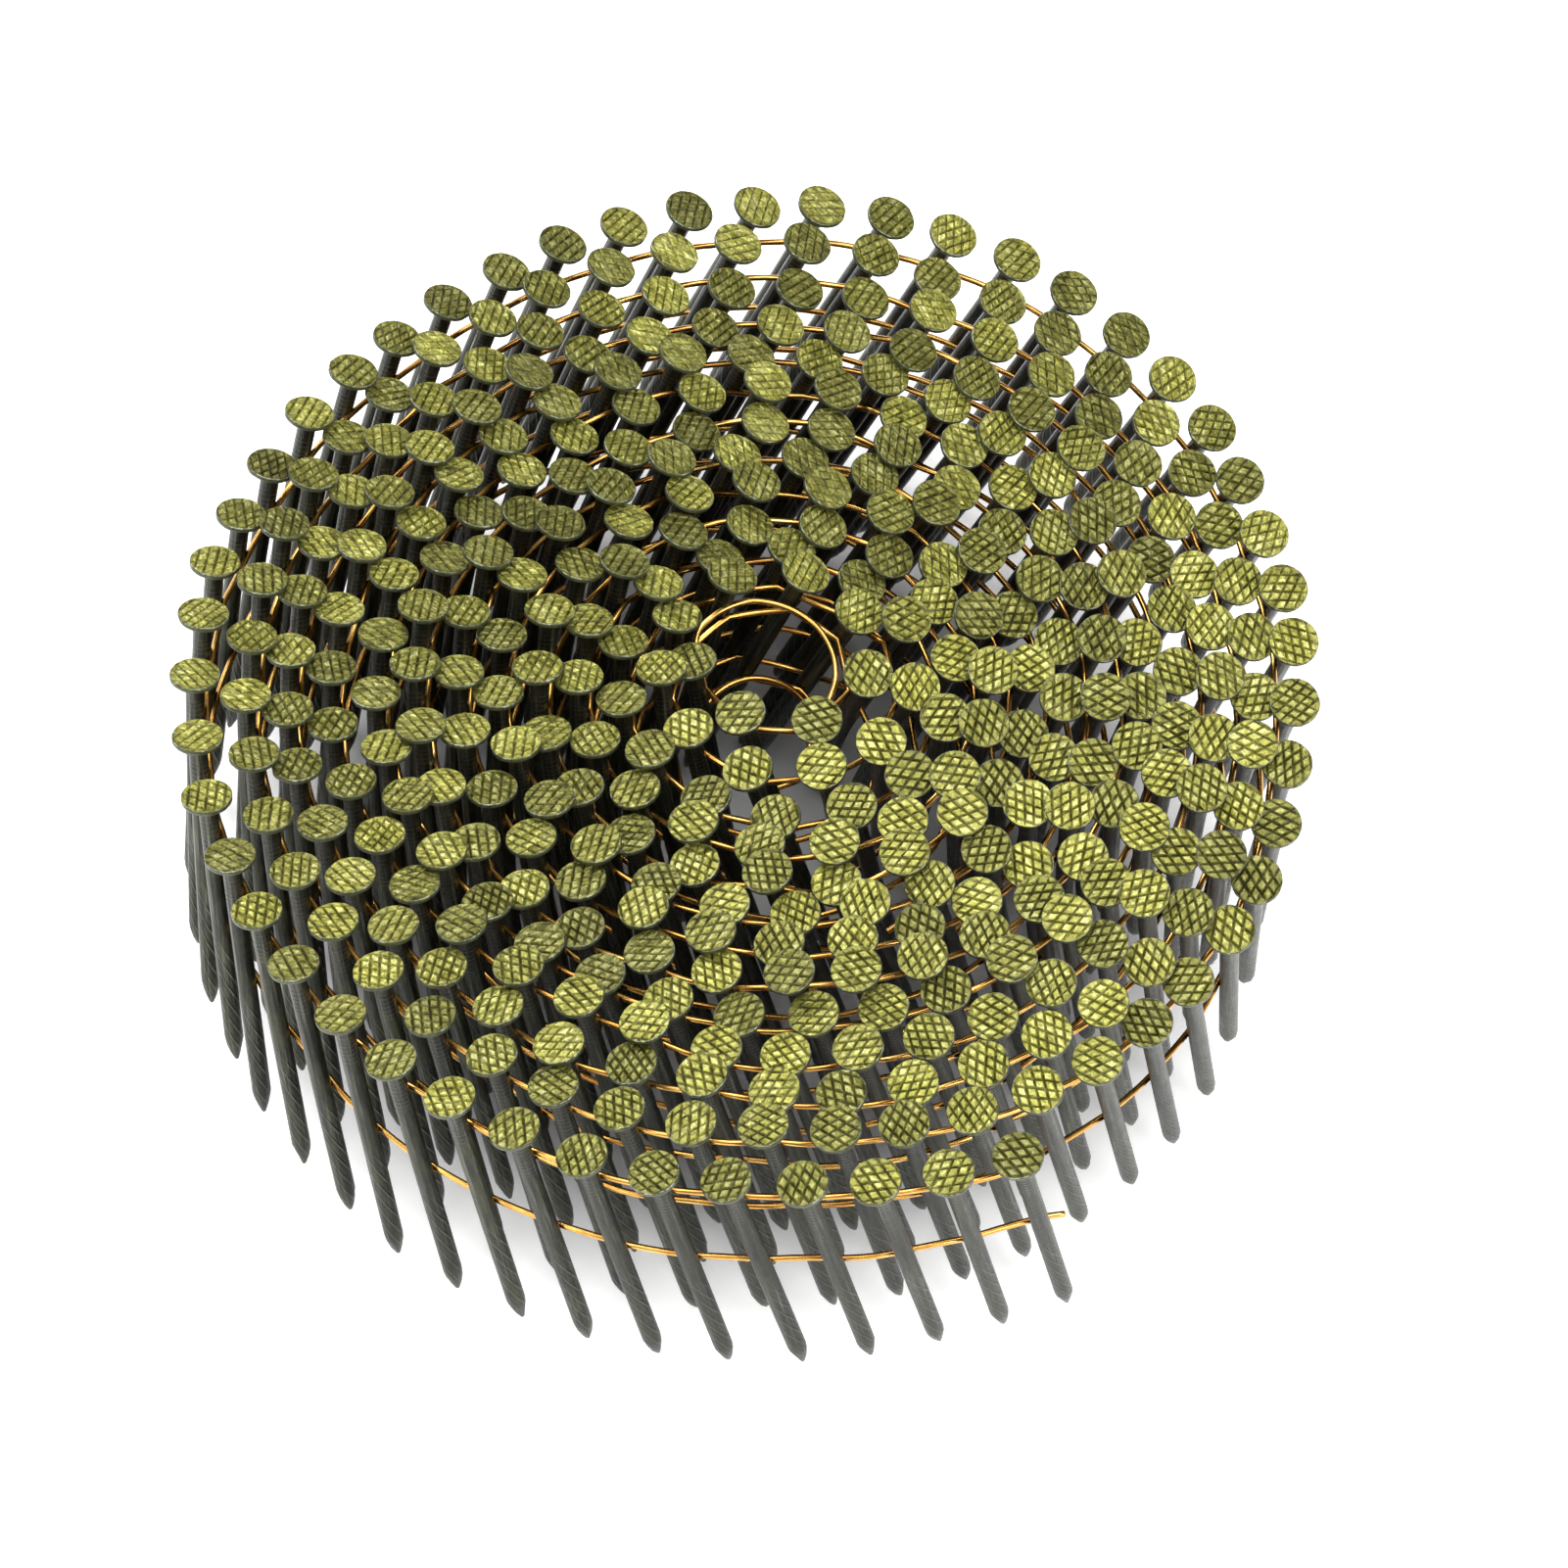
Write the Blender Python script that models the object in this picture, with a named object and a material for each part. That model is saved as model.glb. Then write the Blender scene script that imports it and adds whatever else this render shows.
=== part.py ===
"""A coil of wire-collated nails, laid with its points down. A flat strip of nails, welded side by side to two thin
collating wires, is rolled up clockwise as seen from above. The outermost ten nails are separate pieces on five short
lengths of wire that hinge where the wires flex. The rest of the roll is cut into sections, each one weldment of nails
and its two lengths of wire. Metres, Z up, the middle of the underside at the origin."""

import math

import bmesh
import bpy
import numpy as np
from mathutils import Matrix, Vector

MM = 0.001
NAILS = 357
PITCH = 7.57          # along the wires, nail to nail
LEAN = math.radians(16.4)
LENGTH = 38.0
HEAD_R, HEAD_T = 2.8, 0.9
SHANK_R = 1.05
POINT = 4.2           # length of the four-sided point
WIRE_R = 0.35
UPPER, LOWER = 5.5, 18.6   # each wire's distance below the top of the head
START = -0.969        # direction of the outermost nail, seen from the centre
LINK_NAILS, LINKS = 2, 5
SECTION = 9
CUT = 0.8             # gap between neighbouring lengths of wire


def spiral(a, k):
    """Distance of the strip from the centre at angle a, for nail number k."""
    w = START - a
    r = 63.9 - 4.4 * w / (2 * math.pi) - 2.2 * (1 - math.exp(-w / (3.2 * math.pi)))
    r += 1.1 * math.exp(-(k - 1) / 2)
    fade = math.exp(-w / 20)
    r += fade * (-2.4 * math.cos(2 * a) + 0.5 * math.sin(2 * a) - 0.4 * math.cos(3 * a) - 1.2 * math.sin(3 * a))
    return max(r, 3.2)


def noise(k, s):
    """A repeatable number from -1 to 1 for nail k."""
    v = math.sin(k * 12.9898 + s * 78.233) * 43758.5453
    return 2 * (v - math.floor(v)) - 1


def drift(w):
    """How far the middle of a turn stands from the middle of the roll, w radians in: the last turns lie towards +Y."""
    late = min(max((w - 20.4 * math.pi) / (5.2 * math.pi), 0), 1)
    late = late * late * (3 - 2 * late)
    return 1.5 * w / (26 * math.pi) - 1.8 * late, 4.6 * late


def lay_out():
    """Outward and running directions, middle and axis of every nail, outermost first, in millimetres. Heads that would
    meet are moved apart, sideways or up and down, as they settle in a real roll."""
    a = START
    angles, mids = [], []
    for k in range(1, NAILS + 1):
        r = spiral(a, k)
        x, y = drift(START - a)
        angles.append(a)
        mids.append([r * math.cos(a) + x, r * math.sin(a) + y, 0.0])
        half = a - PITCH / r / 2
        a -= PITCH / spiral(half, k + 0.5)
    t = np.array(angles)
    base = np.array(mids)
    out = np.stack([np.cos(t), np.sin(t), 0 * t], 1)
    run = np.stack([np.sin(t), -np.cos(t), 0 * t], 1)
    axis = math.sin(LEAN) * run + math.cos(LEAN) * np.array([0, 0, 1.0])
    for k in range(NAILS):
        axis[k] += 0.012 * noise(k, 1) * out[k] + 0.014 * noise(k, 2) * run[k]
    axis /= np.linalg.norm(axis, axis=1)[:, None]
    move = np.zeros((NAILS, 3))                     # outwards, along the run, up
    move[:, 2] = [0.35 * noise(k, 3) for k in range(NAILS)]
    first, second = np.triu_indices(NAILS, 1)
    near = np.linalg.norm(base[first, :2] - base[second, :2], axis=1) < 16
    first, second = first[near], second[near]
    mean = axis[first] + axis[second]
    mean /= np.linalg.norm(mean, axis=1)[:, None]
    skew = np.linalg.norm(np.cross(axis[first], axis[second]), axis=1)
    apart = HEAD_T + 0.35 + HEAD_R * skew
    free = (first < LINKS * LINK_NAILS + 1) & (second - first > 3)     # room for the loose end to swing
    room = np.where(free, 1.5, 0.35)
    for step in range(400):
        mid = base + out * move[:, :1] + run * move[:, 1:2]
        mid[:, 2] = move[:, 2]
        head = mid + axis * (LENGTH / 2 - HEAD_T / 2)
        gap = head[second] - head[first]
        up = (gap * mean).sum(1)
        flat = gap - up[:, None] * mean
        d = np.linalg.norm(flat, axis=1) + 1e-9
        wide = 2 * HEAD_R + room - d
        high = np.where(free, 9.0, apart) - np.abs(up)
        shank = HEAD_R + SHANK_R + 0.35 - d
        hit = (wide > 0) & (high > 0)
        side = hit & (wide < 0.8 * high)
        rise = hit & ~side
        push = np.zeros((NAILS, 3))
        way = flat / d[:, None]
        for mask, depth in ((side, wide), ((shank > 0), shank)):
            i, j, w = first[mask], second[mask], way[mask] * (depth[mask] * 0.5)[:, None]
            np.add.at(push, i, -w)
            np.add.at(push, j, w)
        i, j = first[rise], second[rise]
        lift = np.sign(up[rise]) * high[rise] * 0.55
        np.add.at(push, i, -lift[:, None] * np.array([0, 0, 1.0]))
        np.add.at(push, j, lift[:, None] * np.array([0, 0, 1.0]))
        push *= 0.5
        move[:, 0] += (push * out).sum(1)
        move[:, 1] += (push * run).sum(1)
        move[:, 2] += push[:, 2]
        if step < 330:
            move[1:-1] += 0.03 * (0.5 * (move[:-2] + move[2:]) - move[1:-1])
            move *= 0.995
        move[:, 2] = np.clip(move[:, 2], -2.2, 2.2)
    mid = base + out * move[:, :1] + run * move[:, 1:2]
    mid[:, 2] = move[:, 2]
    return out, run, mid, axis


def disc(bm, place, corners, rim=0.0):
    """A nail head, its top at the nail's upper end."""
    middle = Matrix.Translation((0, 0, LENGTH / 2 - HEAD_T / 2))
    made = bmesh.ops.create_cone(bm, cap_ends=True, segments=corners, radius1=HEAD_R, radius2=HEAD_R, depth=HEAD_T,
                                 matrix=place @ middle)
    if rim:
        inverse = place.inverted()
        top = [v for v in made["verts"] if (inverse @ v.co).z > LENGTH / 2 - 0.01]
        edges = [e for e in bm.edges if e.verts[0] in top and e.verts[1] in top]
        bmesh.ops.bevel(bm, geom=edges, offset=rim, segments=1, affect="EDGES")


def shaft(bm, place, corners, radius):
    """A nail's shank and its faceted point. It starts inside the head."""
    top, foot = LENGTH / 2 - 0.4, -LENGTH / 2 + POINT
    turned = Matrix.Translation((0, 0, (top + foot) / 2)) @ Matrix.Rotation(math.pi / corners, 4, "Z")
    made = bmesh.ops.create_cone(bm, cap_ends=True, segments=corners, radius1=radius, radius2=radius, depth=top - foot,
                                 matrix=place @ turned)
    inverse = place.inverted()
    low = {v for v in made["verts"] if (inverse @ v.co).z < foot + 0.01}
    cap = [f for f in bm.faces if all(v in low for v in f.verts)]
    bmesh.ops.recalc_face_normals(bm, faces=bm.faces[:])
    bmesh.ops.poke(bm, faces=cap, offset=POINT)


def bar(bm, one, two, radius):
    """A straight three-sided bar between two points."""
    way = Vector(two) - Vector(one)
    turned = way.to_track_quat("Z", "Y").to_matrix().to_4x4()
    turned.translation = (Vector(one) + Vector(two)) / 2
    bmesh.ops.create_cone(bm, cap_ends=True, segments=3, radius1=radius, radius2=radius, depth=way.length, matrix=turned)


def wire_curve(name, points, radius, resolution, tilt=0.0):
    """A round wire through the points, as a curve; tilt turns the corners of its section."""
    curve = bpy.data.curves.new(name, "CURVE")
    curve.dimensions = "3D"
    curve.bevel_depth = radius * MM
    curve.bevel_resolution = resolution
    curve.use_fill_caps = True
    line = curve.splines.new("POLY")
    line.points.add(len(points) - 1)
    for point, p in zip(line.points, points):
        point.co = (p[0] * MM, p[1] * MM, p[2] * MM, 1)
        point.tilt = tilt
    return curve


def solid_curve(curve):
    """The curve as a closed mesh."""
    obj = bpy.data.objects.new("work", curve)
    bpy.context.scene.collection.objects.link(obj)
    bpy.context.view_layer.update()
    mesh = bpy.data.meshes.new_from_object(obj.evaluated_get(bpy.context.evaluated_depsgraph_get()))
    bpy.data.objects.remove(obj)
    bm = bmesh.new()
    bm.from_mesh(mesh)
    bmesh.ops.remove_doubles(bm, verts=bm.verts[:], dist=1e-6)
    bmesh.ops.recalc_face_normals(bm, faces=bm.faces[:])
    bm.to_mesh(mesh)
    bm.free()
    return mesh


def frame(k):
    """Placing matrix of nail k: X outwards, Z along the nail to its head, origin at mid length."""
    z = Vector(AXIS[k])
    x = Vector(OUT[k])
    x = (x - z * x.dot(z)).normalized()
    y = z.cross(x)
    m = Matrix((x, y, z)).transposed().to_4x4()
    m.translation = Vector(MID[k])
    return m


def finish_mesh(bm, name):
    bmesh.ops.recalc_face_normals(bm, faces=bm.faces[:])
    bmesh.ops.scale(bm, vec=(MM, MM, MM), verts=bm.verts[:])
    mesh = bpy.data.meshes.new(name)
    bm.to_mesh(mesh)
    bm.free()
    return mesh


def material(name, colour, metallic, rough):
    m = bpy.data.materials.new(name)
    m.use_nodes = True
    shader = m.node_tree.nodes["Principled BSDF"]
    shader.inputs["Base Color"].default_value = (*colour, 1)
    shader.inputs["Metallic"].default_value = metallic
    shader.inputs["Roughness"].default_value = rough
    return m


LACQUER = ((0.16, 0.17, 0.07), 0.45, 0.45)
COPPER = ((0.62, 0.30, 0.12), 1.0, 0.32)


def put(name, mesh, look, parent=None):
    obj = bpy.data.objects.new(name, mesh)
    GROUP.objects.link(obj)
    obj.data.materials.clear()
    obj.data.materials.append(material(name + "_finish", *look))
    if parent:
        obj.parent = parent
        obj.matrix_parent_inverse = Matrix.Translation(-parent.location)
    return obj


def united(base, others):
    """The base mesh with each other mesh joined on."""
    obj = bpy.data.objects.new("work", base)
    bpy.context.scene.collection.objects.link(obj)
    made = [obj]
    for mesh in others:
        tool = bpy.data.objects.new("tool", mesh)
        bpy.context.scene.collection.objects.link(tool)
        made.append(tool)
        mod = obj.modifiers.new("join", "BOOLEAN")
        mod.operation, mod.solver, mod.object = "UNION", "EXACT", tool
    bpy.context.view_layer.update()
    graph = bpy.context.evaluated_depsgraph_get()
    mesh = bpy.data.meshes.new_from_object(obj.evaluated_get(graph))
    for o in made:
        bpy.data.objects.remove(o)
    return mesh


def wire_point(k, below_top, inwards):
    """Where a wire passes nail k."""
    p = np.array(MID[k]) + AXIS[k] * (LENGTH / 2 - below_top)
    return p - OUT[k] * inwards


for old in list(bpy.data.objects):
    bpy.data.objects.remove(old)
GROUP = bpy.data.collections.new("nail_coil")
bpy.context.scene.collection.children.link(GROUP)

OUT, RUN, MID, AXIS = lay_out()

# The box round the whole coil sets the origin: the middle of its underside.
ends = []
for k in range(NAILS):
    m = frame(k)
    for i in range(6):
        a = math.pi / 3 * i
        for h in (LENGTH / 2, LENGTH / 2 - HEAD_T):
            ends.append(m @ Vector((HEAD_R * math.cos(a), HEAD_R * math.sin(a), h)))
    ends.append(m @ Vector((0, 0, -LENGTH / 2)))
ends = np.array(ends)
low, high = ends.min(0), ends.max(0)
SHIFT = np.array([-(low[0] + high[0]) / 2, -(low[1] + high[1]) / 2, -low[2]])
MID = MID + SHIFT
CENTRE = SHIFT.copy()

# Hinge lines stand on the wires, midway between neighbouring nails.
TAIL = LINKS * LINK_NAILS
WIRE_IN = SHANK_R + 0.3 + WIRE_R


def hinge_at(k):
    """The vertical line where the wires flex between nail k and the next: point and direction of the run."""
    p = (MID[k] + MID[k + 1]) / 2 - (OUT[k] + OUT[k + 1]) / 2 * WIRE_IN
    way = RUN[k] + RUN[k + 1]
    return p, way / np.linalg.norm(way)


parents = {}
previous = None
for link in range(LINKS, 0, -1):
    p, _ = hinge_at(link * LINK_NAILS - 1)
    empty = bpy.data.objects.new(f"hinge_{link}", None)
    empty.location = Vector((p[0] * MM, p[1] * MM, 0.019))
    empty.empty_display_size = 0.01
    GROUP.objects.link(empty)
    parents[link] = empty
    print("hinge", link, [round(float(v), 4) for v in p[:2]])
print("shift", [round(float(v), 5) for v in SHIFT])

# Loose end: separate nails on short lengths of wire.
for link in range(1, LINKS + 1):
    ks = range((link - 1) * LINK_NAILS, link * LINK_NAILS)
    for k in ks:
        bm = bmesh.new()
        disc(bm, frame(k), 12, 0.12)
        top = finish_mesh(bm, "top")
        bm = bmesh.new()
        shaft(bm, frame(k), 8, SHANK_R)
        put(f"nail_{k + 1:02d}", united(top, [finish_mesh(bm, "shank")]), LACQUER, parents[link])
    for label, depth in (("upper", UPPER), ("lower", LOWER)):
        points = [wire_point(k, depth, WIRE_IN) for k in ks]
        p, way = hinge_at(ks[-1])
        following = wire_point(ks[-1] + 1, depth, WIRE_IN)
        share = np.dot(p - way * CUT / 2 - points[-1], way) / np.dot(following - points[-1], way)
        points.append(points[-1] + (following - points[-1]) * share)
        if link == 1:
            first = points[0] - (points[1] - points[0]) * 0.42 + np.array([0, 0, -0.35])
        else:
            p, way = hinge_at(ks[0] - 1)
            before = wire_point(ks[0] - 1, depth, WIRE_IN)
            share = np.dot(p + way * CUT / 2 - before, way) / np.dot(points[0] - before, way)
            first = before + (points[0] - before) * share
        points.insert(0, first)
        curve = wire_curve(f"{label}_wire_link_{link}", points, WIRE_R, 1, 0.05)
        put(f"{label}_wire_link_{link}", curve, COPPER, parents[link])

# Wound part: nails welded to their lengths of both wires.
starts = list(range(TAIL, NAILS, SECTION))


def curl(end, steps, drop, radius):
    """Points of a bare wire end curled round inside the hollow."""
    middle = np.array([CENTRE[0] - 0.4, CENTRE[1] + 4.2, end[2]])
    r0 = np.linalg.norm((end - middle)[:2])
    a0 = math.atan2(end[1] - middle[1], end[0] - middle[0])
    points = []
    for i in range(1, steps + 1):
        a = a0 - i * 0.5
        r = r0 + (radius - r0) * min(i / 3, 1)
        points.append(np.array([middle[0] + r * math.cos(a), middle[1] + r * math.sin(a), end[2] - drop * i]))
    return points


for n, s in enumerate(starts):
    ks = range(s, min(s + SECTION, NAILS))
    bm = bmesh.new()
    for k in ks:
        disc(bm, frame(k), 6)
    heads = finish_mesh(bm, "heads")
    bm = bmesh.new()
    for k in ks:
        shaft(bm, frame(k), 4, 1.25)
    parts = [finish_mesh(bm, "shanks")]
    points = [wire_point(k, LOWER, 0.35) for k in ks]
    if s == TAIL:
        p, way = hinge_at(ks[0] - 1)
        before = wire_point(ks[0] - 1, LOWER, WIRE_IN)
        after = wire_point(ks[0], LOWER, WIRE_IN)
        share = np.dot(p + way * CUT / 2 - before, way) / np.dot(after - before, way)
        points.insert(0, before + (after - before) * share)
    else:
        before = wire_point(ks[0] - 1, LOWER, 0.35)
        gap = np.linalg.norm(points[0] - before)
        points.insert(0, before + (points[0] - before) * (0.5 + CUT / 2 / gap))
    if ks[-1] + 1 < NAILS:
        after = wire_point(ks[-1] + 1, LOWER, 0.35)
        gap = np.linalg.norm(after - points[-1])
        points.append(points[-1] + (after - points[-1]) * (0.5 - CUT / 2 / gap))
    bm = bmesh.new()
    for i in range(len(points) - 1):
        # Each straight length stops just inside the shanks it is welded to.
        one, two = np.array(points[i]), np.array(points[i + 1])
        way = (two - one) / np.linalg.norm(two - one)
        if i > 0:
            one = one + way * 0.12
        if i < len(points) - 2:
            two = two - way * 0.12
        bar(bm, one, two, 0.47)
    parts.append(finish_mesh(bm, "wire"))
    if ks[-1] + 1 == NAILS:
        tip = points[-1]
        inner = curl(tip, 4, 0.25, 6.3)
        way = (inner[0] - tip) / np.linalg.norm(inner[0] - tip)
        parts.append(solid_curve(wire_curve("end", [tip + way * 0.12] + inner, WIRE_R, 0)))
    put(f"wound_section_{n + 1:02d}", united(heads, parts), LACQUER)

# The upper collating wire of the wound part, one continuous wire on the inner side of the shanks.
points = [wire_point(k, UPPER, WIRE_IN + 0.05) for k in range(TAIL, NAILS)]
p, way = hinge_at(TAIL - 1)
before = wire_point(TAIL - 1, UPPER, WIRE_IN)
share = np.dot(p + way * CUT / 2 - before, way) / np.dot(points[0] - before, way)
points.insert(0, before + (points[0] - before) * share)
points += curl(points[-1], 6, 0.2, 6.4)
put("upper_wire_wound", wire_curve("upper_wire_wound", points, WIRE_R, 0), COPPER)
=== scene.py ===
"""The looks of a coil of wire-collated nails: knurled lacquered heads, drawn and screw-threaded shanks, copper wires."""
import math

import bpy
import numpy as np
from mathutils import Matrix, Vector
from mathutils.geometry import delaunay_2d_cdt


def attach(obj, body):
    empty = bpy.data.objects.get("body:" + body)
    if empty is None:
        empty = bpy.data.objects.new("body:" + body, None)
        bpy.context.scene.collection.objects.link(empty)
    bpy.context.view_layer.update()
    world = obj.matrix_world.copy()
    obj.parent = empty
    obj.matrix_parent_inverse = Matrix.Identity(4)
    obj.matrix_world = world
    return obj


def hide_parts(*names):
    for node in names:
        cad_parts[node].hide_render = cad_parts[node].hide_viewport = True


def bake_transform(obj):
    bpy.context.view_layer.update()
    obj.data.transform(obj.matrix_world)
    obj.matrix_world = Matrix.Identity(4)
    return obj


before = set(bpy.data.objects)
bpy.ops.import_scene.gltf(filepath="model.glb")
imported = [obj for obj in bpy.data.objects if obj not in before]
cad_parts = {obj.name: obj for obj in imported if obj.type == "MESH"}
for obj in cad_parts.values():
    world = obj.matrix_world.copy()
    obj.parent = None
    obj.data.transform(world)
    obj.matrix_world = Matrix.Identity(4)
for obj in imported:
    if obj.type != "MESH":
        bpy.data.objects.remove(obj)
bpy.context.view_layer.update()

# ------------------------------------------------------------------ the layout, as in the CAD model, in millimetres
MM = 0.001
NAILS = 357
PITCH = 7.57
LEAN = math.radians(16.4)
LENGTH = 38.0
HEAD_R, HEAD_T = 2.8, 0.9
SHANK_R = 1.05
WIRE_R = 0.35
UPPER, LOWER = 5.5, 18.6
START = -0.969
LINK_NAILS, LINKS = 2, 5
TAIL = LINK_NAILS * LINKS
SECTION = 9


def spiral(a, k):
    w = START - a
    r = 63.9 - 4.4 * w / (2 * math.pi) - 2.2 * (1 - math.exp(-w / (3.2 * math.pi)))
    r += 1.1 * math.exp(-(k - 1) / 2)
    fade = math.exp(-w / 20)
    r += fade * (-2.4 * math.cos(2 * a) + 0.5 * math.sin(2 * a) - 0.4 * math.cos(3 * a) - 1.2 * math.sin(3 * a))
    return max(r, 3.2)


def noise(k, s):
    v = math.sin(k * 12.9898 + s * 78.233) * 43758.5453
    return 2 * (v - math.floor(v)) - 1


def drift(w):
    late = min(max((w - 20.4 * math.pi) / (5.2 * math.pi), 0), 1)
    late = late * late * (3 - 2 * late)
    return 1.5 * w / (26 * math.pi) - 1.8 * late, 4.6 * late


def lay_out():
    a = START
    angles, mids = [], []
    for k in range(1, NAILS + 1):
        r = spiral(a, k)
        x, y = drift(START - a)
        angles.append(a)
        mids.append([r * math.cos(a) + x, r * math.sin(a) + y, 0.0])
        half = a - PITCH / r / 2
        a -= PITCH / spiral(half, k + 0.5)
    t = np.array(angles)
    base = np.array(mids)
    out = np.stack([np.cos(t), np.sin(t), 0 * t], 1)
    run = np.stack([np.sin(t), -np.cos(t), 0 * t], 1)
    axis = math.sin(LEAN) * run + math.cos(LEAN) * np.array([0, 0, 1.0])
    for k in range(NAILS):
        axis[k] += 0.012 * noise(k, 1) * out[k] + 0.014 * noise(k, 2) * run[k]
    axis /= np.linalg.norm(axis, axis=1)[:, None]
    move = np.zeros((NAILS, 3))
    move[:, 2] = [0.35 * noise(k, 3) for k in range(NAILS)]
    first, second = np.triu_indices(NAILS, 1)
    near = np.linalg.norm(base[first, :2] - base[second, :2], axis=1) < 16
    first, second = first[near], second[near]
    mean = axis[first] + axis[second]
    mean /= np.linalg.norm(mean, axis=1)[:, None]
    skew = np.linalg.norm(np.cross(axis[first], axis[second]), axis=1)
    apart = HEAD_T + 0.35 + HEAD_R * skew
    free = (first < LINKS * LINK_NAILS + 1) & (second - first > 3)
    room = np.where(free, 1.5, 0.35)
    for step in range(400):
        mid = base + out * move[:, :1] + run * move[:, 1:2]
        mid[:, 2] = move[:, 2]
        head = mid + axis * (LENGTH / 2 - HEAD_T / 2)
        gap = head[second] - head[first]
        up = (gap * mean).sum(1)
        flat = gap - up[:, None] * mean
        d = np.linalg.norm(flat, axis=1) + 1e-9
        wide = 2 * HEAD_R + room - d
        high = np.where(free, 9.0, apart) - np.abs(up)
        shank = HEAD_R + SHANK_R + 0.35 - d
        hit = (wide > 0) & (high > 0)
        side = hit & (wide < 0.8 * high)
        rise = hit & ~side
        push = np.zeros((NAILS, 3))
        way = flat / d[:, None]
        for mask, depth in ((side, wide), ((shank > 0), shank)):
            i, j, w = first[mask], second[mask], way[mask] * (depth[mask] * 0.5)[:, None]
            np.add.at(push, i, -w)
            np.add.at(push, j, w)
        i, j = first[rise], second[rise]
        lift = np.sign(up[rise]) * high[rise] * 0.55
        np.add.at(push, i, -lift[:, None] * np.array([0, 0, 1.0]))
        np.add.at(push, j, lift[:, None] * np.array([0, 0, 1.0]))
        push *= 0.5
        move[:, 0] += (push * out).sum(1)
        move[:, 1] += (push * run).sum(1)
        move[:, 2] += push[:, 2]
        if step < 330:
            move[1:-1] += 0.03 * (0.5 * (move[:-2] + move[2:]) - move[1:-1])
            move *= 0.995
        move[:, 2] = np.clip(move[:, 2], -2.2, 2.2)
    mid = base + out * move[:, :1] + run * move[:, 1:2]
    mid[:, 2] = move[:, 2]
    return out, run, mid, axis


OUT, RUN, MID, AXIS = lay_out()
across = OUT - AXIS * (OUT * AXIS).sum(1)[:, None]
across /= np.linalg.norm(across, axis=1)[:, None]
beside = np.cross(AXIS, across)
ends = [MID - AXIS * LENGTH / 2]
for i in range(6):
    a = math.pi / 3 * i
    for h in (LENGTH / 2, LENGTH / 2 - HEAD_T):
        ends.append(MID + HEAD_R * (across * math.cos(a) + beside * math.sin(a)) + AXIS * h)
ends = np.concatenate(ends)
SHIFT = np.array([-(ends[:, 0].min() + ends[:, 0].max()) / 2, -(ends[:, 1].min() + ends[:, 1].max()) / 2,
                  -ends[:, 2].min()])
MID = MID + SHIFT
CENTRE = SHIFT.copy()


def wire_point(k, below_top, inwards):
    return MID[k] + AXIS[k] * (LENGTH / 2 - below_top) - OUT[k] * inwards


# ------------------------------------------------------------------ camera
PHOTO = 1601
FOCAL, REACH = 9258.1, 998.15
TILT, ROLL = 0.96754, -0.14192
PAN, LIFT = -3.2392, 2.3732
se, ce, cr, sr = math.sin(TILT), math.cos(TILT), math.cos(ROLL), math.sin(ROLL)
turn = np.array([[cr, -sr, 0], [sr, cr, 0], [0, 0, 1]]) @ np.array([[1, 0, 0], [0, se, ce], [0, -ce, se]])
eye = (turn.T @ np.array([-PAN, -LIFT, REACH]) + SHIFT) * MM
lens = bpy.data.cameras.new("camera")
lens.sensor_width = 36
lens.lens = 36 * FOCAL / PHOTO
lens.clip_start, lens.clip_end = 0.05, 20
camera = bpy.data.objects.new("camera", lens)
bpy.context.scene.collection.objects.link(camera)
place = Matrix(turn.T.tolist()).to_4x4()
place.translation = Vector(eye)
camera.matrix_world = place
bpy.context.scene.camera = camera


# ------------------------------------------------------------------ materials
def shader(name):
    m = bpy.data.materials.new(name)
    m.use_nodes = True
    t = m.node_tree
    return m, t, t.nodes["Principled BSDF"]


def node(t, kind, **values):
    n = t.nodes.new(kind)
    for key, value in values.items():
        if hasattr(n, key):
            setattr(n, key, value)
        else:
            n.inputs[key].default_value = value
    return n


def math_node(t, op, a, b=None, c=None):
    n = t.nodes.new("ShaderNodeMath")
    n.operation = op
    for socket, value in zip(n.inputs, (a, b, c)):
        if value is None:
            continue
        if isinstance(value, (int, float)):
            socket.default_value = value
        else:
            t.links.new(value, socket)
    return n.outputs[0]


def ramp(t, source, stops):
    n = t.nodes.new("ShaderNodeValToRGB")
    made = n.color_ramp.elements
    made.remove(made[-1])
    made[0].position, made[0].color = stops[0][0], (*stops[0][1], 1)
    for at, colour in stops[1:]:
        made.new(at).color = (*colour, 1)
    t.links.new(source, n.inputs[0])
    return n.outputs[0]


def mix(t, how, amount, a, b):
    n = t.nodes.new("ShaderNodeMix")
    n.data_type = "RGBA"
    n.blend_type = how
    for socket, value in ((n.inputs[0], amount), (n.inputs[6], a), (n.inputs[7], b)):
        if isinstance(value, (int, float)):
            socket.default_value = value
        elif isinstance(value, tuple):
            socket.default_value = (*value, 1)
        else:
            t.links.new(value, socket)
    return n.outputs[2]


def attribute(t, name):
    n = t.nodes.new("ShaderNodeAttribute")
    n.attribute_name = name
    return n.outputs["Fac"]


def noise_node(t, vector, scale, detail=3.0, rough=0.55):
    n = t.nodes.new("ShaderNodeTexNoise")
    n.inputs["Scale"].default_value = scale
    n.inputs["Detail"].default_value = detail
    n.inputs["Roughness"].default_value = rough
    t.links.new(vector, n.inputs["Vector"])
    return n.outputs["Fac"]


def bump(t, height, strength, distance, before=None):
    n = t.nodes.new("ShaderNodeBump")
    n.inputs["Strength"].default_value = strength
    n.inputs["Distance"].default_value = distance
    t.links.new(height, n.inputs["Height"])
    if before is not None:
        t.links.new(before, n.inputs["Normal"])
    return n.outputs["Normal"]


def object_coordinates(t):
    return t.nodes.new("ShaderNodeTexCoord").outputs["Object"]


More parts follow.
